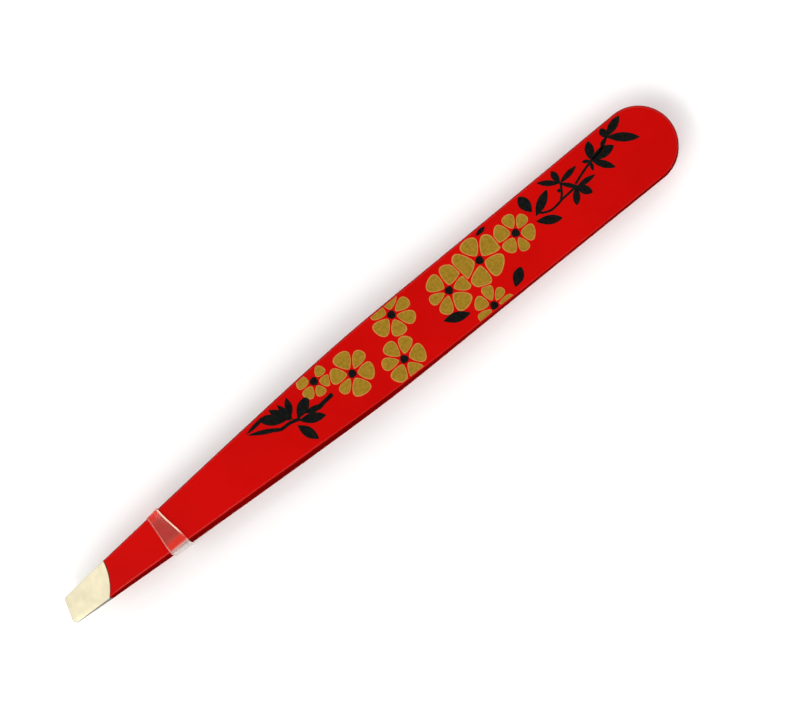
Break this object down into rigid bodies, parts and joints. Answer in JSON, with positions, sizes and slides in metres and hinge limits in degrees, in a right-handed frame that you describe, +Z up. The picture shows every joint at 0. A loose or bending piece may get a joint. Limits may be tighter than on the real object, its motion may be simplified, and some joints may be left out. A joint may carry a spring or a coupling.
{
  "type": "slant tweezers",
  "caption": "Slant-tip tweezers: bowed enamelled steel arms welded at a round heel, bare ground tips, held closed by a clear band.",
  "frame": {"origin": "middle of the plan, on the surface under the bowed lower arm", "axes": "+X from the slanted tips to the round heel, +Y across the arms towards the shorter side of the slant, +Z up through the closed arms"},
  "size_m": [0.0948, 0.0098, 0.007],
  "materials": {
    "red_enamel": "gloss red enamel over spring steel",
    "ground_steel": "bare steel, finely ground across the tip",
    "gold_print": "thin metallic gold ink, faintly grained",
    "black_print": "thin black ink",
    "clear_plastic": "clear soft PVC, slightly hazy"
  },
  "bodies": {
    "lower_arm": {"lower_arm": "red_enamel"},
    "heel": {"weld_front": "ground_steel", "weld_rear": "ground_steel"},
    "upper_arm": {"upper_arm": "red_enamel"},
    "band": {"clear_band": "clear_plastic"}
  },
  "joints": [
    {"name": "upper_arm_flex", "type": "hinge", "parent": "heel", "child": "upper_arm", "pos_m": [0.0475, 0, 0.0035], "axis": [0, 1, 0], "range_deg": [0, 2.4], "stiffness_Nm_per_rad": 1.6, "springref_deg": 2.4},
    {"name": "lower_arm_flex", "type": "hinge", "parent": "lower_arm", "child": "heel", "pos_m": [0.0475, 0, 0.0035], "axis": [0, 1, 0], "range_deg": [0, 2.4], "stiffness_Nm_per_rad": 1.6, "springref_deg": 2.4},
    {"name": "band_slide", "type": "slide", "parent": "heel", "child": "band", "axis": [-1, 0, 0], "range_m": [0, 0.0377]}
  ],
  "couplings": [
    {"joint": "upper_arm_flex", "follows": "band_slide", "rad_per_m": 1.111},
    {"joint": "lower_arm_flex", "follows": "band_slide", "rad_per_m": 1.111}
  ]
}
